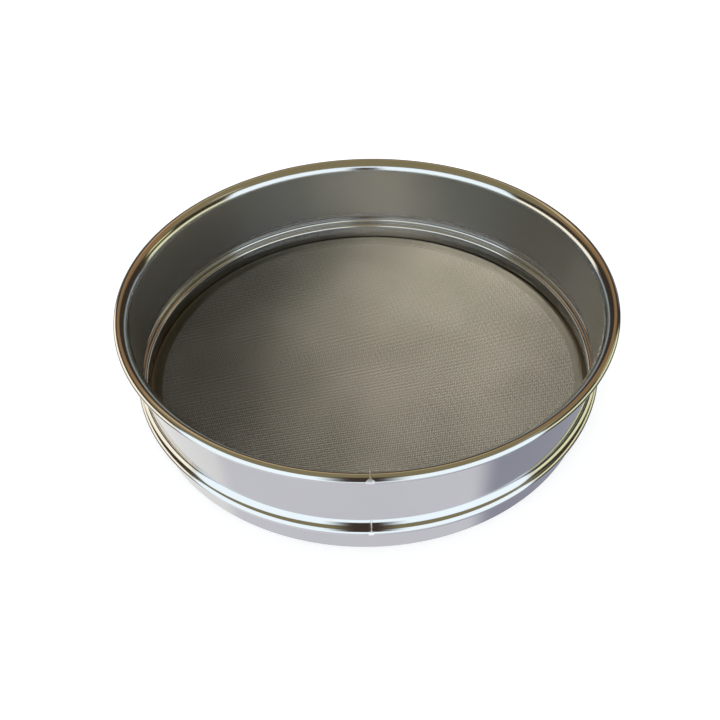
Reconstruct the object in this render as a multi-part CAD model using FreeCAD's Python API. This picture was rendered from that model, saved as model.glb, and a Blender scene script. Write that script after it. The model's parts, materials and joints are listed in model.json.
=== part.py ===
"""Double sieve strainer: a wired-rim sheet frame with a fixed fine screen and a lift-out coarse screen.

Millimetres. The origin is the centre of the skirt's lower edge, +Z is up, and the welded seam of the
rolled strip is on the -Y side.
"""
import FreeCAD, Part
import os
from math import atan2, cos, degrees, radians, sin, sqrt

# Driving dimensions
SHEET = 0.8                    # thickness of the frame's strip and of the pressed rings
WALL_INNER_R = 188.4           # upper wall, which takes the skirt of another frame
NEST_CLEARANCE = 0.3           # radial, between a skirt and the wall it goes into
RIM_OUTER_R = 200.0
RIM_TUBE_R = 3.8               # outside of the curl round the rim wire
RIM_CENTRE_Z = 89.2            # height of the rim wire's centre
WIRE_CLEARANCE = 0.05          # radial, between the rim wire and its curl
FLARE_END_ANGLE = 120.0        # where the wall's flare runs into the curl, from the curl's outermost side
CURL_END_ANGLE = -150.0        # where the curl's edge stops
BEAD_CREST_R = 194.6           # outermost radius of the pressed bead
BEAD_CENTRE_Z = 25.4
BEAD_R = 3.8                   # sheet centreline radius across the bead
BEAD_LOWER_FILLET_R = 3.0      # sheet centreline radius between skirt and bead
BEAD_UPPER_FILLET_R = 7.4      # sheet centreline radius between bead and wall

SEAM_WIDTH = 1.2
SEAM_PROUD = 0.25              # weld left standing on the rim and on the bead
WALL_SEAM_PROUD = 0.04         # weld left after grinding, on the wall's outside

SCREEN_INNER_R = 179.2         # clear radius of the seat ring and the clamp ring
RING_GAP = 0.05                # between rings that lie against each other and the sheet
SEAT_Z = 3.8                   # underside of the seat ring's flange
SEAT_LEG_HEIGHT = 2.8
FINE_WIRE = 0.25
COARSE_WIRE = 0.5
COARSE_SCREEN_R = 185.8
HOOP_SECTION = (6.0, 1.5)      # radial width and height of the lift-out screen's flat hoop
SOLDER_LEG = 1.2
SPOT_COUNT = 24
SPOT_R = 1.5
SPOT_PROUD = 0.12

# Worked-out dimensions
WALL_MID_R = WALL_INNER_R + SHEET / 2
SKIRT_OUTER_R = WALL_INNER_R - NEST_CLEARANCE
SKIRT_INNER_R = SKIRT_OUTER_R - SHEET
SKIRT_MID_R = SKIRT_OUTER_R - SHEET / 2
CURL_MID_R = RIM_TUBE_R - SHEET / 2
RIM_CENTRE_R = RIM_OUTER_R - RIM_TUBE_R
RIM_WIRE_R = RIM_TUBE_R - SHEET - WIRE_CLEARANCE
FLARE_COS = cos(radians(FLARE_END_ANGLE))
FLARE_R = (RIM_CENTRE_R - WALL_MID_R + CURL_MID_R * FLARE_COS) / (1 + FLARE_COS)
FLARE_Z = RIM_CENTRE_Z - (FLARE_R - CURL_MID_R) * sin(radians(FLARE_END_ANGLE))
BEAD_CENTRE_R = BEAD_CREST_R - SHEET / 2 - BEAD_R
SEAT_OUTER_R = SKIRT_INNER_R - RING_GAP
SEAT_LEG_INNER_R = SEAT_OUTER_R - SHEET
CLAMP_OUTER_R = SEAT_LEG_INNER_R - SPOT_PROUD - RING_GAP
FINE_Z = SEAT_Z + SHEET
CLAMP_Z = FINE_Z + 2 * FINE_WIRE
HOOP_Z = CLAMP_Z + SHEET + RING_GAP
HOOP_OUTER_R = COARSE_SCREEN_R - RING_GAP
HOOP_INNER_R = HOOP_OUTER_R - HOOP_SECTION[0]
COARSE_Z = HOOP_Z + HOOP_SECTION[1]
SPOT_CIRCLE_R = (SCREEN_INNER_R + CLAMP_OUTER_R) / 2

AXIS_POINT = FreeCAD.Vector(0, 0, 0)
AXIS = FreeCAD.Vector(0, 0, 1)


class Line:
    """A straight stretch of the sheet's centreline, from the lower end to the upper one."""

    def __init__(self, radius, low, high):
        self.radius = radius
        self.low = low
        self.high = high

    def edge(self, offset):
        start = FreeCAD.Vector(self.radius + offset, 0, self.low)
        end = FreeCAD.Vector(self.radius + offset, 0, self.high)
        return Part.makeLine(start, end), start, end


class Arc:
    """A bent stretch of the sheet's centreline. outward is 1 where the bend's centre lies inside the
    frame, so that a point on the outer face is further from the centre, and -1 where it lies outside."""

    def __init__(self, centre_r, centre_z, radius, start_angle, end_angle, outward):
        self.centre = (centre_r, centre_z)
        self.radius = radius
        self.angles = (start_angle, end_angle)
        self.outward = outward

    def point(self, angle, offset):
        radius = self.radius + self.outward * offset
        return FreeCAD.Vector(
            self.centre[0] + radius * cos(radians(angle)), 0, self.centre[1] + radius * sin(radians(angle))
        )

    def edge(self, offset):
        start = self.point(self.angles[0], offset)
        middle = self.point(sum(self.angles) / 2, offset)
        end = self.point(self.angles[1], offset)
        return Part.Arc(start, middle, end).toShape(), start, end


def tangent_fillet(line_r, fillet_r, upper):
    """The arc that leaves a straight wall of radius line_r and meets the bead, with its centre outside
    the frame. Returns the arc, the height where it meets the wall and its angle on the bead."""
    centre_r = line_r + fillet_r
    across = centre_r - BEAD_CENTRE_R
    rise = sqrt((BEAD_R + fillet_r) ** 2 - across ** 2)
    side = 1 if upper else -1
    centre_z = BEAD_CENTRE_Z + side * rise
    angle = degrees(atan2(side * rise, across))
    if upper:
        arc = Arc(centre_r, centre_z, fillet_r, 180 + angle, 180, -1)
    else:
        arc = Arc(centre_r, centre_z, fillet_r, 180, 180 + angle, -1)
    return arc, centre_z, angle


LOWER_FILLET, SKIRT_TOP_Z, BEAD_LOW_ANGLE = tangent_fillet(SKIRT_MID_R, BEAD_LOWER_FILLET_R, False)
UPPER_FILLET, WALL_LOW_Z, BEAD_HIGH_ANGLE = tangent_fillet(WALL_MID_R, BEAD_UPPER_FILLET_R, True)
SKIRT_PATH = [Line(SKIRT_MID_R, 0, SKIRT_TOP_Z)]
BEAD_PATH = [
    LOWER_FILLET,
    Arc(BEAD_CENTRE_R, BEAD_CENTRE_Z, BEAD_R, BEAD_LOW_ANGLE, BEAD_HIGH_ANGLE, 1),
    UPPER_FILLET,
]
WALL_PATH = [Line(WALL_MID_R, WALL_LOW_Z, FLARE_Z)]
RIM_PATH = [
    Arc(WALL_MID_R + FLARE_R, FLARE_Z, FLARE_R, 180, FLARE_END_ANGLE, -1),
    Arc(RIM_CENTRE_R, RIM_CENTRE_Z, CURL_MID_R, FLARE_END_ANGLE, CURL_END_ANGLE, -1),
]


def sheet_ring(path, inner_offset, outer_offset):
    """Turns a stretch of sheet about the axis. The offsets are from the sheet's centreline to its faces."""
    inner = [piece.edge(-inner_offset) for piece in path]
    outer = [piece.edge(outer_offset) for piece in path]
    edges = [item[0] for item in inner] + [item[0] for item in outer]
    edges.append(Part.makeLine(inner[0][1], outer[0][1]))
    edges.append(Part.makeLine(inner[-1][2], outer[-1][2]))
    wire = Part.Wire(Part.__sortEdges__(edges))
    return Part.Face(wire).revolve(AXIS_POINT, AXIS, 360)


def flat_ring(inner_r, outer_r, low_z, height):
    """A flat ring or, with an inner radius of zero, a disc."""
    base = FreeCAD.Vector(0, 0, low_z)
    ring = Part.makeCylinder(outer_r, height, base)
    if inner_r > 0:
        ring = ring.cut(Part.makeCylinder(inner_r, height, base))
    return ring


def joint_slot(side):
    """The narrow block along the welded joint of a rolled ring, on the -Y (-1) or the +Y (1) side."""
    depth = RIM_CENTRE_R + 2 * RIM_TUBE_R
    height = RIM_CENTRE_Z + 4 * RIM_TUBE_R
    corner = FreeCAD.Vector(-SEAM_WIDTH / 2, min(0, side * depth), -RIM_TUBE_R)
    return Part.makeBox(SEAM_WIDTH, depth, height, corner)


FRONT_SLOT = joint_slot(-1)
REAR_SLOT = joint_slot(1)


def spot_angles():
    """Angles of the spot welds round a ring, clear of both joints."""
    return [360.0 * (index + 0.5) / SPOT_COUNT for index in range(SPOT_COUNT)]


def upright_spots(low_z, height):
    """Spot welds through the fine mesh, between the seat ring and the clamp ring."""
    spots = []
    for angle in spot_angles():
        place = FreeCAD.Vector(
            SPOT_CIRCLE_R * cos(radians(angle)), SPOT_CIRCLE_R * sin(radians(angle)), low_z
        )
        spots.append(Part.makeCylinder(SPOT_R, height, place))
    return Part.Compound(spots)


def radial_spots(inner_r, outer_r):
    """Spot welds through the seat ring's leg, with ends that follow the sheet's curve."""
    band = flat_ring(inner_r, outer_r, SEAT_Z, SEAT_LEG_HEIGHT)
    middle_z = SEAT_Z + (SEAT_LEG_HEIGHT + SHEET) / 2
    spot_r = (SEAT_LEG_HEIGHT - SHEET) / 3
    spots = []
    for angle in spot_angles():
        outwards = FreeCAD.Vector(cos(radians(angle)), sin(radians(angle)), 0)
        start = outwards * (inner_r - SPOT_R) + AXIS * middle_z
        rod = Part.makeCylinder(spot_r, outer_r - inner_r + 2 * SPOT_R, start, outwards)
        spots.append(rod.common(band))
    return Part.Compound(spots)


def frame_shell():
    """The rolled strip: skirt, bead, wall, flare and the curl round the rim wire, open at the seam."""
    half = SHEET / 2
    ring = sheet_ring(SKIRT_PATH + BEAD_PATH + WALL_PATH + RIM_PATH, half, half)
    return ring.cut(FRONT_SLOT)


def seam_weld(path, inner_proud, outer_proud):
    """The weld metal along one stretch of the strip's joint."""
    half = SHEET / 2
    ring = sheet_ring(path, half + inner_proud, half + outer_proud)
    return ring.common(FRONT_SLOT)


def rim_torus():
    centre = FreeCAD.Vector(0, 0, RIM_CENTRE_Z)
    return Part.makeTorus(RIM_CENTRE_R, RIM_WIRE_R, centre, AXIS)


def seat_section():
    """The pressed angle ring: a leg against the skirt and a flange under the fine mesh."""
    leg = flat_ring(SEAT_LEG_INNER_R, SEAT_OUTER_R, SEAT_Z, SEAT_LEG_HEIGHT)
    flange = flat_ring(SCREEN_INNER_R, SEAT_OUTER_R, SEAT_Z, SHEET)
    return leg.fuse(flange).removeSplitter()


def hoop_bar():
    return flat_ring(HOOP_INNER_R, HOOP_OUTER_R, HOOP_Z, HOOP_SECTION[1])


def solder_fillet():
    """The solder line that joins the coarse mesh to the inner side of its hoop."""
    corners = [
        FreeCAD.Vector(HOOP_INNER_R, 0, COARSE_Z),
        FreeCAD.Vector(HOOP_INNER_R - SOLDER_LEG, 0, COARSE_Z),
        FreeCAD.Vector(HOOP_INNER_R, 0, COARSE_Z - SOLDER_LEG),
    ]
    outline = Part.makePolygon(corners + corners[:1])
    return Part.Face(outline).revolve(AXIS_POINT, AXIS, 360)


def wire_layer(outer_r, low_z, wire):
    """One direction of a mesh's wires, as a thin disc."""
    return flat_ring(0, outer_r, low_z, wire)


leg_spots = radial_spots(SEAT_LEG_INNER_R - SPOT_PROUD, SKIRT_INNER_R)
mesh_spots = upright_spots(FINE_Z, 2 * FINE_WIRE)
clamp_ring = flat_ring(SCREEN_INNER_R, CLAMP_OUTER_R, CLAMP_Z, SHEET)

parts = {
    "frame_shell": frame_shell(),
    "rim_wire": rim_torus().cut(FRONT_SLOT),
    "rim_wire_weld": rim_torus().common(FRONT_SLOT),
    "rim_seam_weld": seam_weld(RIM_PATH, SEAM_PROUD, 0),
    "wall_seam_weld": seam_weld(WALL_PATH, 0, WALL_SEAM_PROUD),
    "bead_seam_weld": seam_weld(BEAD_PATH, 0, SEAM_PROUD),
    "skirt_seam_weld": seam_weld(SKIRT_PATH, 0, 0),
    "seat_ring": seat_section().cut(REAR_SLOT).cut(leg_spots),
    "seat_ring_weld": seat_section().common(REAR_SLOT),
    "seat_spot_welds": leg_spots,
    "fine_warp_wires": wire_layer(CLAMP_OUTER_R, FINE_Z, FINE_WIRE).cut(mesh_spots),
    "fine_weft_wires": wire_layer(CLAMP_OUTER_R, FINE_Z + FINE_WIRE, FINE_WIRE).cut(mesh_spots),
    "fine_clamp_ring": clamp_ring.cut(REAR_SLOT),
    "fine_clamp_ring_weld": clamp_ring.common(REAR_SLOT),
    "fine_spot_welds": mesh_spots,
    "coarse_hoop": hoop_bar().cut(REAR_SLOT),
    "coarse_hoop_weld": hoop_bar().common(REAR_SLOT),
    "coarse_solder": solder_fillet(),
    "coarse_warp_wires": wire_layer(COARSE_SCREEN_R, COARSE_Z, COARSE_WIRE),
    "coarse_weft_wires": wire_layer(COARSE_SCREEN_R, COARSE_Z + COARSE_WIRE, COARSE_WIRE),
}

os.makedirs("parts", exist_ok=True)
for name, shape in parts.items():
    shape.exportStep("parts/" + name + ".step")
    box = shape.BoundBox
    print(f"{name:22s} solids {len(shape.Solids):3d} volume {shape.Volume:10.1f} z {box.ZMin:6.2f} to {box.ZMax:6.2f}")
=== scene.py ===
"""Looks of the double sieve strainer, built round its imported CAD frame.

The frame's axes are used throughout: metres, +Z up, the welded seam on the -Y side.
"""
import json
import math
from collections import namedtuple

import bpy
import numpy as np
from mathutils import Matrix, Vector


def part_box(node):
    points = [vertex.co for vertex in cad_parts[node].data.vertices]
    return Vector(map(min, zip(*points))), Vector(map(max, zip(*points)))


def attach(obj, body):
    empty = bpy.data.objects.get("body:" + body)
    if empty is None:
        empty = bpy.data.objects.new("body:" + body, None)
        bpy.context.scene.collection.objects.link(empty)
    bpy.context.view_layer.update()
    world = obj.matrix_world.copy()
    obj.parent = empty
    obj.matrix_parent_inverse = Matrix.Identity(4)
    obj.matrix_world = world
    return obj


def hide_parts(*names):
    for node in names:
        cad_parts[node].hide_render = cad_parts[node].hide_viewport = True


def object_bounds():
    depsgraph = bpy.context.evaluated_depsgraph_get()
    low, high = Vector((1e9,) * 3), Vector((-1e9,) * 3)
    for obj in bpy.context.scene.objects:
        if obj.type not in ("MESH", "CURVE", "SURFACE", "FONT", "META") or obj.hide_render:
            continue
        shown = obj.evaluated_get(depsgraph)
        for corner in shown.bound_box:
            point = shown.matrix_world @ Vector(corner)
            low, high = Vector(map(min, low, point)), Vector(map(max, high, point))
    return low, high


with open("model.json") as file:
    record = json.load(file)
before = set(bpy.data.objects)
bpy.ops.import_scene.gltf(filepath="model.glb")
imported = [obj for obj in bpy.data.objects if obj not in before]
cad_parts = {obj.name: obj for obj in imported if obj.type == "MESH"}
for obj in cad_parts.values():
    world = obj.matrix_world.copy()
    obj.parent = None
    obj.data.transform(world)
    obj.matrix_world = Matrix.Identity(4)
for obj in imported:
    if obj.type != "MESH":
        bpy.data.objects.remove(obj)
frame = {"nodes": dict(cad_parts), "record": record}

CAD_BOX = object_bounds()
MM = 0.001
TAU = 2 * math.pi
SEAM_ANGLE = -math.pi / 2

# ---------------------------------------------------------------- sizes, read from the frame

shell_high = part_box("frame_shell")[1]
wire_low, wire_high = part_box("rim_wire")
clamp_low, clamp_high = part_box("fine_clamp_ring")
MOUNTS = {mount["name"]: mount["dims"] for mount in frame["record"]["mounts"]}

# The clamp ring is of the same gauge as the frame's sheet.
SHEET = clamp_high.z - clamp_low.z
WALL_INNER_R = MOUNTS["upper_socket"]["r_mm"] * MM
SKIRT_OUTER_R = MOUNTS["skirt"]["r_mm"] * MM
WALL_MID_R = WALL_INNER_R + SHEET / 2
SKIRT_MID_R = SKIRT_OUTER_R - SHEET / 2
WALL_LENGTH = TAU * WALL_MID_R

# The sheet flares out from the wall and, where the flare ends, curls back over the rim's wire.
RIM_CENTRE_Z = (wire_low.z + wire_high.z) / 2
RIM_CENTRE_R = wire_high.x - (wire_high.z - wire_low.z) / 2
RIM_TUBE_R = shell_high.x - RIM_CENTRE_R
CURL_MID_R = RIM_TUBE_R - SHEET / 2
FLARE_END = math.radians(120)
CURL_END = math.radians(-150)
FLARE_R = (RIM_CENTRE_R - WALL_MID_R + CURL_MID_R * math.cos(FLARE_END)) / (1 + math.cos(FLARE_END))
FLARE_Z = RIM_CENTRE_Z - (FLARE_R - CURL_MID_R) * math.sin(FLARE_END)

# ---------------------------------------------------------------- sizes that aren't read from the frame

BEAD_CREST_R = 194.6 * MM
BEAD_CENTRE_Z = 25.4 * MM
BEAD_R = 3.8 * MM
BEAD_CENTRE_R = BEAD_CREST_R - SHEET / 2 - BEAD_R
BEAD_LOWER_FILLET_R = 3.0 * MM
BEAD_UPPER_FILLET_R = 7.4 * MM

SEAM_WIDTH = 1.2 * MM
DENT_REACH = 2.0 * MM
FLUSH_DENT = 0.01 * MM
DEEP_DENT = 0.12 * MM

COARSE_PITCH = 1.8 * MM
COARSE_TURN = math.radians(-9.5)
COARSE_DIP = 0.35 * MM
FINE_PITCH = 1.0 * MM
FINE_TURN = math.radians(31)
FINE_DIP = 0.1 * MM

# ---------------------------------------------------------------- mesh helpers


def new_mesh(name, points, quads, smooth_angle=None, flat_map=None):
    """A mesh object from numpy arrays: points (n, 3), quads (m, 4) and a flat map (m, 4, 2) for baking."""
    mesh = bpy.data.meshes.new(name)
    mesh.vertices.add(len(points))
    mesh.vertices.foreach_set("co", np.asarray(points, np.float32).ravel())
    mesh.loops.add(quads.size)
    mesh.loops.foreach_set("vertex_index", quads.astype(np.int32).ravel())
    mesh.polygons.add(len(quads))
    mesh.polygons.foreach_set("loop_start", np.arange(0, quads.size, 4, dtype=np.int32))
    mesh.update(calc_edges=True)
    if flat_map is not None:
        layer = mesh.uv_layers.new(name="OFBake")
        layer.data.foreach_set("uv", flat_map.astype(np.float32).ravel())
    mesh.validate()
    mesh.shade_smooth()
    if smooth_angle is not None:
        mesh.set_sharp_from_angle(angle=smooth_angle)
    piece = bpy.data.objects.new(name, mesh)
    bpy.context.scene.collection.objects.link(piece)
    return piece


def tube_quads(index, inside_out):
    """The quads of a tube whose rings are the rows of index, an array of vertex numbers. Each end is closed
    by a strip from one half of its ring to the other."""
    following = np.roll(index, -1, axis=1)
    side = np.stack([index[:-1], index[1:], following[1:], following[:-1]], axis=2).reshape(-1, 4)
    if inside_out:
        side = side[:, [0, 3, 2, 1]]
    quads = [side]
    half = index.shape[1] // 2
    for ring, flipped in ((index[0], inside_out), (index[-1], not inside_out)):
        near, far = ring[:half], ring[half:][::-1]
        end = np.stack([near[:-1], near[1:], far[1:], far[:-1]], axis=1)
        quads.append(end[:, ::-1] if flipped else end)
    return np.concatenate(quads)


def unrolled(columns, rows, quad_count):
    """A flat map for all that tube_quads makes: the side unrolled, and both ends in the same corner."""
    u, v = np.meshgrid(np.arange(columns - 1), np.arange(rows), indexing="ij")
    u, v = u[..., None] + np.array([0, 1, 1, 0]), v[..., None] + np.array([0, 0, 1, 1])
    side_width, corner_left, corner_size = 0.97, 0.98, 0.01
    side = np.stack([side_width * u / (columns - 1), v / rows], axis=3).reshape(-1, 4, 2)
    corner = np.array([(0, 0), (1, 0), (1, 1), (0, 1)]) * corner_size + (corner_left, 0)
    return np.concatenate([side, np.tile(corner, (quad_count - len(side), 1, 1))])


def finish_piece(piece, body, material, node):
    """Gives a piece its material and its body, and hides the CAD node that it stands for."""
    piece.data.materials.append(material)
    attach(piece, body)
    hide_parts(node)


# ---------------------------------------------------------------- the sheet's path


def straight(radius, low, high, count):
    """Rows of (r, z, nr, nz) up a straight stretch. The normal points to the sheet's outer face."""
    rows = np.zeros((count, 4))
    rows[:, 0] = radius
    rows[:, 1] = np.linspace(low, high, count)
    rows[:, 2] = 1
    return rows


BEND_STEP = math.radians(4)
FINE_STEP = math.radians(2)
SKIRT_ROWS = 5
WALL_ROWS = 13


def bend(centre, radius, start, end, outward, step=BEND_STEP):
    """Rows along a bend. outward is 1 where its centre lies inside the frame and -1 outside."""
    count = max(3, int(abs(end - start) / step) + 2)
    angles = np.linspace(start, end, count)
    across, up = np.cos(angles), np.sin(angles)
    return np.stack(
        [centre[0] + radius * across, centre[1] + radius * up, outward * across, outward * up], axis=1
    )


def fillet(line_r, fillet_r, side):
    """The bend between a straight stretch and the bead, the height at which it meets the straight stretch
    and the angle at which it meets the bead's arc. side is 1 above the bead and -1 below it."""
    centre_r = line_r + fillet_r
    across = centre_r - BEAD_CENTRE_R
    rise = side * math.sqrt((BEAD_R + fillet_r) ** 2 - across ** 2)
    bead_angle = math.atan2(rise, across)
    centre = (centre_r, BEAD_CENTRE_Z + rise)
    ends = (math.pi, math.pi + bead_angle)
    start, end = ends if side < 0 else ends[::-1]
    return bend(centre, fillet_r, start, end, -1, FINE_STEP), centre[1], bead_angle


LOWER_FILLET, SKIRT_TOP_Z, BEAD_START = fillet(SKIRT_MID_R, BEAD_LOWER_FILLET_R, -1)
UPPER_FILLET, WALL_LOW_Z, BEAD_END = fillet(WALL_MID_R, BEAD_UPPER_FILLET_R, 1)
SKIRT_PATH = straight(SKIRT_MID_R, 0, SKIRT_TOP_Z, SKIRT_ROWS)
CREST = bend((BEAD_CENTRE_R, BEAD_CENTRE_Z), BEAD_R, BEAD_START, BEAD_END, 1, FINE_STEP)
BEAD_PATH = np.concatenate([LOWER_FILLET, CREST[1:], UPPER_FILLET[1:]])
WALL_PATH = straight(WALL_MID_R, WALL_LOW_Z, FLARE_Z, WALL_ROWS)
FLARE = bend((WALL_MID_R + FLARE_R, FLARE_Z), FLARE_R, math.pi, FLARE_END, -1)
CURL = bend((RIM_CENTRE_R, RIM_CENTRE_Z), CURL_MID_R, FLARE_END, CURL_END, -1)
RIM_PATH = np.concatenate([FLARE, CURL[1:]])

# ---------------------------------------------------------------- the rolled sheet

ROUND_STEPS = 300
NEAR_SEAM = 7 * MM
NEAR_STEP = 0.4 * MM
SHEET_CREASE = math.radians(40)


def seam_distances():
    """Distances round the wall from one edge of the seam to the other, closer together near it."""
    regular = np.linspace(0, WALL_LENGTH, ROUND_STEPS + 1)
    near = SEAM_WIDTH / 2 + np.arange(0, NEAR_SEAM, NEAR_STEP)
    middle = regular[(regular > near[-1]) & (regular < WALL_LENGTH - near[-1])]
    return np.concatenate([near, middle, (WALL_LENGTH - near)[::-1]])


def seam_dent(distances):
    """The share of its full dent that the sheet has at each distance round the wall."""
    away = np.minimum(distances, WALL_LENGTH - distances)
    return np.exp(-((away / DENT_REACH) ** 2))


# The wall's waves: how many go round it, their phase, its drift up the wall, and their share of the height.
WAVES = ((3, 0.7, 1.1, 1.0), (7, 2.1, -1.7, 0.6), (13, 4.0, 2.6, 0.35))
WAVE_HEIGHT = 0.06 * MM
SKIRT_FADE = 12 * MM
RIM_FADE = 14 * MM


def wall_waves(angle, height):
    """The slight unevenness of a hand-rolled wall, which fades out at the rim and at the skirt."""
    off_skirt = np.clip((height - SKIRT_TOP_Z) / SKIRT_FADE, 0, 1)
    off_rim = np.clip((FLARE_Z - height) / RIM_FADE, 0, 1)
    tall = height / RIM_CENTRE_Z
    waves = sum(share * np.sin(count * angle + phase + drift * tall) for count, phase, drift, share in WAVES)
    return WAVE_HEIGHT * waves * (off_skirt * off_rim)


def sheet_face(path, dents, distances, face):
    """Points on the sheet's outer face (1) or inner face (-1), by distance round the wall and path row."""
    angles = (SEAM_ANGLE + distances / WALL_MID_R)[:, None]
    shift = np.outer(seam_dent(distances), dents)
    r = path[:, 0] + face * SHEET / 2 * path[:, 2]
    z = path[:, 1] + face * SHEET / 2 * path[:, 3]
    radius = r + shift * path[:, 2] + wall_waves(angles, z)
    height = z + shift * path[:, 3]
    return np.stack([radius * np.cos(angles), radius * np.sin(angles), height], axis=2)


def sweep_sheet(name, stretches):
    """The strip's section swept from one edge of the seam round to the other. stretches holds pairs of a
    path, which starts where the one before it ends, and how far the weld pulls it along its normal."""
    rows, dents = [], []
    for number, (stretch, dent) in enumerate(stretches):
        new_rows = stretch[1:] if number else stretch
        rows.append(new_rows)
        dents.append(np.full(len(new_rows), dent))
    path, dents = np.concatenate(rows), np.concatenate(dents)
    outer, inner = [sheet_face(path, dents, seam_distances(), face) for face in (1, -1)]
    points = np.concatenate([outer, inner[:, ::-1]], axis=1)
    columns, count = points.shape[:2]
    quads = tube_quads(np.arange(columns * count).reshape(columns, count), False)
    flat_map = unrolled(columns, count, len(quads))
    return new_mesh(name, points.reshape(-1, 3), quads, SHEET_CREASE, flat_map)


# ---------------------------------------------------------------- seam welds

WELD_STEP = 0.25 * MM
# A weld's edge stands this much above the sheet's seen face, and its back ends this much short of the other.
WELD_EDGE = 0.01 * MM
WELD_BACK = 0.02 * MM
WELD_POINTS = 11
WELD_CREASE = math.radians(50)
# A swelling weld's width and height away from its wide part, as a share of those of its wide part.
NARROW = 0.18
LAP_LENGTH = 1.1 * MM
LAP_SHARE = 0.06
LAP_BOW = 2.5


def weld_ribbon(name, path, face, half_width, proud, swell):
    """A weld along a stretch of the seam: crowned and lapped on the seen face, flat on the other. swell is
    the middle of its wide part and that part's length, as shares of the stretch, or None for an even one."""
    length = np.concatenate([[0], np.cumsum(np.hypot(np.diff(path[:, 0]), np.diff(path[:, 1])))])
    along = np.linspace(0, length[-1], max(len(path), int(length[-1] / WELD_STEP)))
    r, z, out, up = [np.interp(along, length, path[:, k])[:, None] for k in range(4)]
    out, up = out / np.hypot(out, up), up / np.hypot(out, up)
    full = np.ones((len(along), 1))
    if swell:
        middle, spread = swell
        full = NARROW + (1 - NARROW) * np.exp(-(((along[:, None] / length[-1] - middle) / spread) ** 4))
    across = np.sin(np.linspace(-math.pi / 2, math.pi / 2, WELD_POINTS))
    sideways = half_width * full * across
    lap = 1 + LAP_SHARE * np.sin(TAU * along[:, None] / LAP_LENGTH - LAP_BOW * np.abs(across))
    crown = (1 - across ** 2) * full * lap
    top = face * (SHEET / 2 + WELD_EDGE + proud * crown)
    bottom = np.full_like(top, -face * (SHEET / 2 - WELD_BACK))
    offsets = np.concatenate([top, bottom[:, ::-1]], axis=1)
    sideways = np.concatenate([sideways, sideways[:, ::-1]], axis=1)
    radius = r + offsets * out
    height = z + offsets * up
    angle = SEAM_ANGLE + sideways / WALL_MID_R
    points = np.stack([radius * np.cos(angle), radius * np.sin(angle), height], axis=2)
    columns, count = points.shape[:2]
    quads = tube_quads(np.arange(columns * count).reshape(columns, count), True)
    if face < 0:
        quads = quads[:, ::-1]
    return new_mesh(name, points.reshape(-1, 3), quads, WELD_CREASE)


# ---------------------------------------------------------------- woven mesh

# edge_z is the height of the mesh's middle at its edge, and dip is how much lower the rest of it lies.
# steps is how many steps a wire is drawn with from one crossing to the next.
Layout = namedtuple("Layout", "pitch wire radius edge_z turn dip steps")

# A wire's section is a square, a little narrower than the wire is thick.
CORNERS = np.array([0.25, 0.75, 1.25, 1.75]) * math.pi
SECTION = 0.92 / math.sqrt(2) * np.stack([np.cos(CORNERS), np.sin(CORNERS)], axis=1)
# It goes over and under by this share of its thickness.
CRIMP_SHARE = 0.51
# The dip sets in over this share of the mesh's radius, faster at first.
DIP_REACH = 0.06
DIP_POWER = 0.7


def layout_in(node, pitch, turn, dip, steps):
    """The layout of a mesh from the CAD node of its lower wires, which is as thick as one wire and has the
    upper wires on its top."""
    low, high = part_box(node)
    return Layout(pitch, high.z - low.z, high.x, high.z, turn, dip, steps)


def wire_points(number, layout, crossways):
    """The rings of one wire, (rings, 4, 3), before the mesh is turned. It goes over and under the wires
    that it crosses. None if it is too short to cross any."""
    offset = (number + 0.5) * layout.pitch
    crossings = int(math.sqrt(max(layout.radius ** 2 - offset ** 2, 0)) / layout.pitch)
    if crossings < 1:
        return None
    steps = np.arange(-crossings * layout.steps, crossings * layout.steps) + 0.5 * (layout.steps % 2)
    run = steps * layout.pitch / layout.steps
    phase = math.pi * (run / layout.pitch - 0.5 + number)
    crimp = (-1 if crossways else 1) * layout.wire * CRIMP_SHARE
    slope = -crimp * math.pi / layout.pitch * np.sin(phase)
    lean = np.stack([-slope, np.ones_like(slope)], axis=1) / np.hypot(slope, 1)[:, None]
    from_edge = (1 - np.hypot(run, offset) / layout.radius) / DIP_REACH
    rise = crimp * np.cos(phase) - layout.dip * np.clip(from_edge, 0, 1) ** DIP_POWER
    ring = layout.wire * SECTION
    along = run[:, None] + ring[:, 1] * lean[:, :1]
    height = layout.edge_z + rise[:, None] + ring[:, 1] * lean[:, 1:]
    beside = np.broadcast_to(offset + ring[:, 0], along.shape)
    x, y = (along, beside) if crossways else (beside, along)
    return np.stack([x, y, height], axis=2)


def woven_wires(name, numbers, layout, crossways):
    """The numbered wires of one direction of a plain weave, as one mesh."""
    wires = [wire_points(number, layout, crossways) for number in numbers]
    wires = [wire for wire in wires if wire is not None]
    quads, base = [], 0
    for wire in wires:
        index = base + np.arange(len(wire) * 4).reshape(-1, 4)
        quads.append(tube_quads(index, True))
        base += index.size
    points, quads = np.concatenate(wires).reshape(-1, 3), np.concatenate(quads)
    if not crossways:
        quads = quads[:, ::-1]
    cos, sin = math.cos(layout.turn), math.sin(layout.turn)
    x, y, z = points.T
    turned = np.stack([x * cos - y * sin, x * sin + y * cos, z], axis=1)
    map_middle, map_radius = 0.5, 0.49
    flat_map = map_middle + map_radius * turned[quads][:, :, :2] / layout.radius
    return new_mesh(name, turned, quads, flat_map=flat_map)


MESH_PIECES = bpy.data.collections.new("mesh_pieces")


def weave(kind, body, layout, bands, material):
    """Both directions of a mesh, in bands of wires."""
    reach = int(layout.radius / layout.pitch)
    edges = np.linspace(-reach, reach, bands + 1).astype(int)
    for direction, crossways in (("warp", False), ("weft", True)):
        for band in range(bands):
            name = f"{kind}_{direction}_band_{band + 1}"
            piece = woven_wires(name, range(edges[band], edges[band + 1]), layout, crossways)
            finish_piece(piece, body, material, f"{kind}_{direction}_wires")
            MESH_PIECES.objects.link(piece)


# ---------------------------------------------------------------- node helpers


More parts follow.
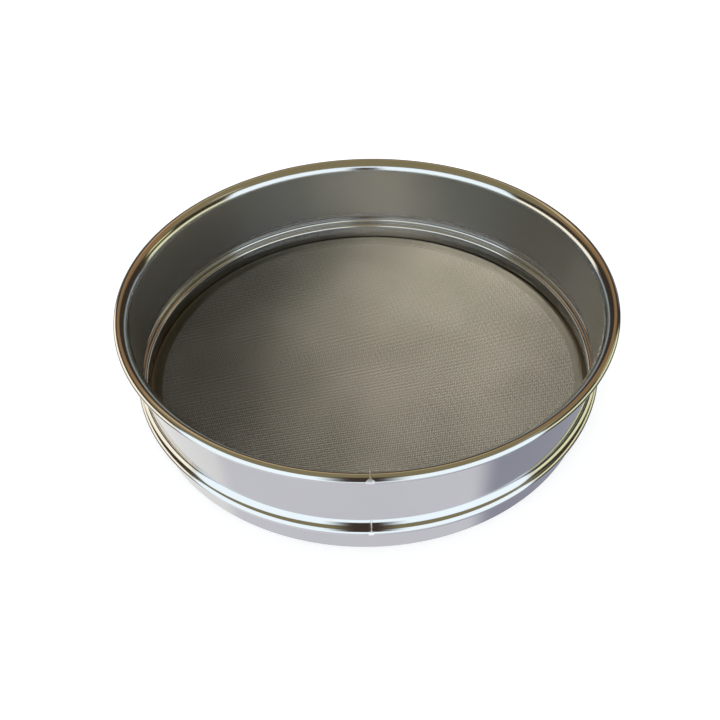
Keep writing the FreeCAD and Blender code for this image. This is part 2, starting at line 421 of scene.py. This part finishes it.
class Nodes:
    """A short way to build a node tree."""

    def __init__(self, tree):
        self.tree = tree
        tree.nodes.clear()

    def add(self, kind, **settings):
        node = self.tree.nodes.new("ShaderNode" + kind)
        for key, value in settings.items():
            setattr(node, key, value)
        return node

    def link(self, source, target):
        self.tree.links.new(source, target)

    def feed(self, target, value):
        """Gives the target socket a value, which is another node's output or a plain one."""
        if isinstance(value, bpy.types.NodeSocket):
            self.link(value, target)
        else:
            target.default_value = value

    def result(self, node, *values):
        """The node's first output, once its first inputs have the values."""
        for socket, value in zip(node.inputs, values):
            self.feed(socket, value)
        return node.outputs[0]

    def math(self, operation, *values):
        return self.result(self.add("Math", operation=operation), *values)

    def ramp(self, value, low, high, out_low=0.0, out_high=1.0):
        """A smooth step from out_low, where the value is low, to out_high, where it is high."""
        node = self.add("MapRange", interpolation_type="SMOOTHSTEP")
        return self.result(node, value, low, high, out_low, out_high)

    def noise(self, vector, scale, detail=2.0, roughness=0.5):
        node = self.add("TexNoise")
        values = {"Vector": vector, "Scale": scale, "Detail": detail, "Roughness": roughness}
        for key, value in values.items():
            self.feed(node.inputs[key], value)
        return node.outputs[0]

    def spread(self, noise, low, high):
        """A noise, which mostly lies between 0.3 and 0.7, spread from low to high."""
        return self.ramp(noise, 0.3, 0.7, low, high)

    def combine(self, x, y, z):
        return self.result(self.add("CombineXYZ"), x, y, z)

    def mix(self, factor, first, second):
        """Two colours, mixed."""
        node = self.add("Mix", data_type="RGBA")
        for number, value in ((0, factor), (6, first), (7, second)):
            self.feed(node.inputs[number], value)
        return node.outputs[2]

    def mix_shaders(self, factor, first, second):
        return self.result(self.add("MixShader"), factor, first, second)

    def axes(self, kind="Object"):
        """x, y and z of one kind of texture coordinates: Object means the frame's own."""
        split = self.add("SeparateXYZ")
        self.link(self.add("TexCoord").outputs[kind], split.inputs[0])
        return split.outputs

    def from_axis(self, x, y):
        """The length of (x, y): in the frame's own coordinates, the distance from its axis."""
        squares = [self.math("MULTIPLY", part, part) for part in (x, y)]
        return self.math("SQRT", self.math("ADD", *squares))

    def show(self, shader):
        """Makes the shader the material's surface."""
        self.link(shader, self.add("OutputMaterial").inputs["Surface"])


def new_material(name):
    """A new material and its empty node tree."""
    material = bpy.data.materials.new(name)
    material.use_nodes = True
    return material, Nodes(material.node_tree)


def metal(name, look):
    """A metal. look(nodes) returns its colour, its roughness and its bump: a pattern and its height, or
    None."""
    material, nodes = new_material(name)
    colour, roughness, bump = look(nodes)
    shader = nodes.add("BsdfPrincipled")
    shader.inputs["Metallic"].default_value = 1.0
    nodes.feed(shader.inputs["Base Color"], colour)
    nodes.feed(shader.inputs["Roughness"], roughness)
    if bump:
        relief = nodes.add("Bump")
        nodes.link(bump[0], relief.inputs["Height"])
        relief.inputs["Distance"].default_value = bump[1]
        relief.inputs["Strength"].default_value = 1.0
        nodes.link(relief.outputs[0], shader.inputs["Normal"])
    nodes.show(shader.outputs[0])
    return material


# ---------------------------------------------------------------- materials


def polished_sheet(nodes):
    """Bright rolled sheet, duller and with an upright grain on the inside of the wall."""
    x, y, z = nodes.axes()
    arc = nodes.math("MULTIPLY", nodes.math("ARCTAN2", y, x), WALL_MID_R)
    inside = nodes.ramp(nodes.from_axis(x, y), WALL_MID_R + 0.2 * MM, WALL_MID_R - 0.2 * MM)
    above_bead = nodes.ramp(z, WALL_LOW_Z - 4 * MM, WALL_LOW_Z + 4 * MM)
    inner_wall = nodes.math("MULTIPLY", inside, above_bead)
    squashed_z = nodes.math("MULTIPLY", z, 0.002)
    streaks = nodes.noise(nodes.combine(arc, 0.0, squashed_z), 800)
    polish = nodes.spread(streaks, 0.1, 0.13)
    dull = nodes.spread(streaks, 0.29, 0.35)
    gap = nodes.math("SUBTRACT", dull, polish)
    roughness = nodes.math("ADD", polish, nodes.math("MULTIPLY", gap, inner_wall))
    drift = nodes.noise(nodes.combine(arc, 0.0, z), 16)
    tint = nodes.mix(drift, (0.60, 0.60, 0.61, 1), (0.65, 0.65, 0.655, 1))
    colour = nodes.mix(inner_wall, tint, (0.63, 0.63, 0.615, 1))
    return colour, roughness, (nodes.math("MULTIPLY", streaks, inner_wall), 0.0025 * MM)


def weld_metal(nodes):
    """Pale speckled weld."""
    speckle = nodes.noise(nodes.combine(*nodes.axes()), 900, 4, 0.6)
    colour = nodes.mix(speckle, (0.8, 0.8, 0.8, 1), (0.9, 0.9, 0.91, 1))
    return colour, nodes.spread(speckle, 0.36, 0.46), (speckle, 0.015 * MM)


def satin_ring_painted_shade(nodes):
    """Satin rings: grain that runs round the ring, in a colour of painted shade for the gap round the mesh's
    edge.
    """
    x, y, z = nodes.axes()
    squashed_angle = nodes.math("MULTIPLY", nodes.math("ARCTAN2", y, x), 0.004)
    grain = nodes.noise(nodes.combine(nodes.from_axis(x, y), squashed_angle, z), 2500, 3, 0.6)
    # Painted shade: this dark colour stands in for the shadow in the gap round the mesh's edge.
    colour = nodes.mix(grain, (0.2, 0.19, 0.17, 1), (0.28, 0.27, 0.24, 1))
    return colour, nodes.spread(grain, 0.3, 0.45), (grain, 0.01 * MM)


def solder_painted_shade(nodes):
    """Dull lumpy solder, also used for all welds but the seam's, in a colour of painted shade for the gap
    round the mesh.
    """
    lumps = nodes.noise(nodes.combine(*nodes.axes()), 350, 3)
    # Painted shade: this dark colour stands in for the shadow that the welds lie in.
    colour = nodes.mix(lumps, (0.14, 0.14, 0.13, 1), (0.24, 0.24, 0.23, 1))
    return colour, nodes.spread(lumps, 0.3, 0.55), (lumps, 0.2 * MM)


def drawn_wire(dark, light, speckle_scale):
    """Drawn wire, whose tone drifts from place to place."""

    def look(nodes):
        place = nodes.combine(*nodes.axes())
        drift = nodes.math("MULTIPLY", nodes.noise(place, 14, 3), 0.6)
        speckle = nodes.math("MULTIPLY", nodes.noise(place, speckle_scale), 0.4)
        tone = nodes.ramp(nodes.math("ADD", drift, speckle), 0.35, 0.65)
        return nodes.mix(tone, dark, light), 0.32, None

    return look


SHEET_METAL = metal("polished_sheet", polished_sheet)
WELD_METAL = metal("weld_metal", weld_metal)
# The rings' dark colour is painted shade for the gap round the mesh's edge.
SATIN_RING_PAINTED_SHADE = metal("satin_ring_painted_shade", satin_ring_painted_shade)
# The solder's dark colour is painted shade for the gap round the mesh's edge.
SOLDER_PAINTED_SHADE = metal("solder_painted_shade", solder_painted_shade)
COARSE_METAL = metal("coarse_wire", drawn_wire((0.16, 0.15, 0.125, 1), (0.225, 0.213, 0.183, 1), 700))
FINE_METAL = metal("fine_wire", drawn_wire((0.14, 0.132, 0.112, 1), (0.2, 0.19, 0.162, 1), 900))
RIM_WIRE_METAL = metal("rim_wire_metal", drawn_wire((0.5, 0.5, 0.5, 1), (0.6, 0.6, 0.6, 1), 500))

# ---------------------------------------------------------------- the pieces

# The sheet comes in two pieces, split at this row of the wall, to keep its meshes small. The lower one still
# has 6% more faces than the export writes to an STL in full, so that STL comes out thinned.
WALL_SPLIT = 6
SHEETS = {
    "lower_sheet": [
        (SKIRT_PATH, -FLUSH_DENT),
        (BEAD_PATH, -DEEP_DENT),
        (WALL_PATH[: WALL_SPLIT + 1], -FLUSH_DENT),
    ],
    "upper_sheet": [(WALL_PATH[WALL_SPLIT:], -FLUSH_DENT), (RIM_PATH, DEEP_DENT)],
}
for name, stretches in SHEETS.items():
    finish_piece(sweep_sheet(name, stretches), "frame", SHEET_METAL, "frame_shell")

# The seam's stretches: path, seen face, half width, crown, swell and material.
SEAM_WELDS = {
    "rim": (RIM_PATH, -1, 2.7 * MM, 0.235 * MM, (0.68, 0.08), WELD_METAL),
    "wall": (WALL_PATH, 1, 0.7 * MM, 0.01 * MM, None, SHEET_METAL),
    "bead": (BEAD_PATH, 1, 2.1 * MM, 0.23 * MM, (0.43, 0.09), WELD_METAL),
    "skirt": (SKIRT_PATH, 1, 0.7 * MM, 0.01 * MM, None, SHEET_METAL),
}
for place, (path, face, half_width, proud, swell, material) in SEAM_WELDS.items():
    ribbon = weld_ribbon(f"{place}_weld_bead", path, face, half_width, proud, swell)
    finish_piece(ribbon, "frame", material, f"{place}_seam_weld")

coarse_layout = layout_in("coarse_warp_wires", COARSE_PITCH, COARSE_TURN, COARSE_DIP, steps=2)
weave("coarse", "coarse_screen", coarse_layout, bands=4, material=COARSE_METAL)
fine_layout = layout_in("fine_warp_wires", FINE_PITCH, FINE_TURN, FINE_DIP, steps=1)
weave("fine", "frame", fine_layout, bands=6, material=FINE_METAL)

CARRIED_OVER = {
    "rim_wire": RIM_WIRE_METAL,
    "rim_wire_weld": SOLDER_PAINTED_SHADE,
    "seat_ring": SATIN_RING_PAINTED_SHADE,
    "seat_ring_weld": SOLDER_PAINTED_SHADE,
    "seat_spot_welds": SOLDER_PAINTED_SHADE,
    "fine_clamp_ring": SATIN_RING_PAINTED_SHADE,
    "fine_clamp_ring_weld": SOLDER_PAINTED_SHADE,
    "fine_spot_welds": SOLDER_PAINTED_SHADE,
    "coarse_hoop": SATIN_RING_PAINTED_SHADE,
    "coarse_hoop_weld": SOLDER_PAINTED_SHADE,
    "coarse_solder": SOLDER_PAINTED_SHADE,
}
for node, material in CARRIED_OVER.items():
    piece = frame["nodes"][node]
    piece.data.materials.clear()
    piece.data.materials.append(material)

# ---------------------------------------------------------------- floor, light and camera


def stage_card(name, corners, material):
    """A flat card of the studio, which is no part of the object."""
    card = new_mesh(name, np.array(corners, float), np.array([[0, 1, 2, 3]]))
    card.data.materials.append(material)
    return card


def floor():
    """A pale floor that glows a little outside the skirt and can't be seen from below."""
    half, level = 4.0, CAD_BOX[0].z - 0.05 * MM
    pale, roughness, glow = (0.9, 0.9, 0.91, 1), 0.9, 0.35
    material, nodes = new_material("pale_floor")
    shader = nodes.add("BsdfPrincipled")
    shader.inputs["Base Color"].default_value = pale
    shader.inputs["Roughness"].default_value = roughness
    shader.inputs["Specular IOR Level"].default_value = 0.0
    shader.inputs["Emission Color"].default_value = (1, 1, 1, 1)
    x, y, _ = nodes.axes()
    strength = nodes.ramp(nodes.from_axis(x, y), 0.98 * SKIRT_MID_R, SKIRT_MID_R, 0.0, glow)
    nodes.link(strength, shader.inputs["Emission Strength"])
    from_below = nodes.add("NewGeometry").outputs["Backfacing"]
    nothing = nodes.add("BsdfTransparent").outputs[0]
    nodes.show(nodes.mix_shaders(from_below, shader.outputs[0], nothing))
    corners = [(-half, -half, level), (half, -half, level), (half, half, level), (-half, half, level)]
    stage_card("floor", corners, material).visible_glossy = False


# Soft panels of the room that the metal mirrors, in degrees: azimuth from the front (-Y) towards +X and
# elevation, their half widths, the softness of their edges, then colour and strength. Later ones cover
# earlier ones.
PANELS = [
    ((0, 66), (180, 30), 10, (1.0, 0.84, 0.45), 0.31),  # the ceiling
    ((180, 44), (60, 11), 10, (0.36, 0.21, 0.1), 1.0),  # high behind
    ((180, 1), (50, 5), 4, (0.85, 0.95, 1.0), 0.5),  # level behind
    ((-165, 51), (32, 5), 6, (1.0, 0.84, 0.5), 0.8),  # a strip, high behind
    ((-4, -6), (74, 40), 6, (0.86, 0.96, 1.0), 1.55),  # the front
    ((-106, -1), (28, 17), 6, (1.0, 0.92, 0.74), 1.5),  # the left side
    ((95, 1), (26, 13), 6, (1.0, 1.0, 0.62), 1.1),  # the right side
    ((82, 46), (9, 2), 5, (1.0, 0.92, 0.7), 0.9),  # a strip, high on the right
    ((117, 27), (9, 3), 4, (1.0, 0.98, 0.5), 1.0),  # a strip on the right, further back
    ((0, -70), (180, 23), 5, (0.94, 0.93, 1.0), 0.86),  # the table, which the wall and the skirt mirror
    ((112, -63), (50, 26), 16, (0.82, 0.84, 1.0), 0.45),  # the table's dim right side
    ((-118, -63), (36, 26), 12, (1.0, 0.99, 0.98), 1.0),  # the table's bright left side
]
DARK_ROOM = (0.05, 0.04, 0.028, 1)


def room():
    """A dark warm room with soft bright panels for what the metal mirrors, and white for the rest."""
    world = bpy.data.worlds.new("room")
    bpy.context.scene.world = world
    world.use_nodes = True
    # Its white is even and its panels show only in mirrors, so it isn't sampled as a lamp.
    world.cycles.sampling_method = "NONE"
    nodes = Nodes(world.node_tree)
    x, y, z = nodes.axes("Generated")
    flat = nodes.math("MAXIMUM", nodes.from_axis(x, y), 0.0001)
    elevation = nodes.math("DEGREES", nodes.math("ARCSINE", z))
    total = DARK_ROOM
    for (azimuth, middle), (half_width, half_height), softness, colour, strength in PANELS:
        azimuth = math.radians(azimuth)
        across = nodes.math("MULTIPLY", x, math.sin(azimuth))
        ahead = nodes.math("MULTIPLY", y, -math.cos(azimuth))
        towards = nodes.math("DIVIDE", nodes.math("ADD", across, ahead), flat)
        turn = nodes.math("DEGREES", nodes.math("ARCCOSINE", towards))
        beside = nodes.ramp(turn, half_width + softness / 2, half_width - softness / 2)
        away = nodes.math("ABSOLUTE", nodes.math("SUBTRACT", elevation, middle))
        above = nodes.ramp(away, half_height + softness / 2, half_height - softness / 2)
        lit = tuple(strength * part for part in colour) + (1,)
        total = nodes.mix(nodes.math("MULTIPLY", beside, above), total, lit)
    mirrored = nodes.add("LightPath").outputs["Is Glossy Ray"]
    background = nodes.add("Background")
    nodes.link(nodes.mix(mirrored, (1.0, 1.0, 1.0, 1), total), background.inputs["Color"])
    nodes.link(background.outputs[0], nodes.add("OutputWorld").inputs["Surface"])


def flag():
    """A black card in front of the strainer, seen only in the metal: the dark patch in the middle of the
    front. Its left and right ends fade out."""
    low, high = 0.02, 0.315
    left, right, ahead = -0.085, 0.065, -0.32
    fade, brown_black = 0.055, (0.07, 0.048, 0.038, 1)
    material, nodes = new_material("black_card")
    glow = nodes.add("Emission")
    glow.inputs["Color"].default_value = brown_black
    off_middle = nodes.math("ABSOLUTE", nodes.math("SUBTRACT", nodes.axes()[0], (left + right) / 2))
    half_width = (right - left) / 2
    solid = nodes.ramp(off_middle, half_width, half_width - fade)
    nothing = nodes.add("BsdfTransparent").outputs[0]
    nodes.show(nodes.mix_shaders(solid, nothing, glow.outputs[0]))
    corners = [(left, ahead, low), (right, ahead, low), (right, ahead, high), (left, ahead, high)]
    piece = stage_card("flag", corners, material)
    piece.visible_camera = False
    piece.visible_diffuse = False
    piece.visible_shadow = False


def mesh_light():
    """A soft lamp behind and to the right, for the sheen in the middle of the mesh. Only the mesh takes its
    light and casts shadows in it."""
    place, aim = Vector((0.3, 1.2, 0.93)), Vector((0.085, 0.03, 0))
    data = bpy.data.lights.new("mesh_light", "SPOT")
    data.energy = 240
    data.color = (1.0, 0.95, 0.86)
    data.shadow_soft_size = 0.06
    data.spot_size = math.radians(15.5)
    data.spot_blend = 1.0
    item = bpy.data.objects.new("mesh_light", data)
    bpy.context.scene.collection.objects.link(item)
    item.location = place
    item.rotation_euler = (aim - place).to_track_quat("-Z", "Y").to_euler()
    item.light_linking.receiver_collection = MESH_PIECES
    item.light_linking.blocker_collection = MESH_PIECES


def camera():
    """A camera 3.2 rim radii from the rim's centre and 38 degrees above the rim's plane."""
    rim_radii, elevation = 3.2, math.radians(38.0)
    distance = rim_radii * shell_high.x
    down, yaw, roll = 0.0946, 0.0092, 0.0263
    data = bpy.data.cameras.new("camera")
    data.sensor_width = 36
    data.lens = 39.33
    data.clip_start = 0.01
    item = bpy.data.objects.new("camera", data)
    bpy.context.scene.collection.objects.link(item)
    looks_at_rim = Matrix.Rotation(math.pi / 2 - elevation, 4, "X")
    turn = Matrix.Rotation(roll, 4, "Z") @ Matrix.Rotation(down, 4, "X") @ Matrix.Rotation(-yaw, 4, "Y")
    place = Vector((0, -distance * math.cos(elevation), RIM_CENTRE_Z + distance * math.sin(elevation)))
    item.matrix_world = Matrix.Translation(place) @ looks_at_rim @ turn.inverted()
    bpy.context.scene.camera = item


floor()
room()
flag()
mesh_light()
camera()
bpy.context.scene.view_settings.view_transform = "Standard"
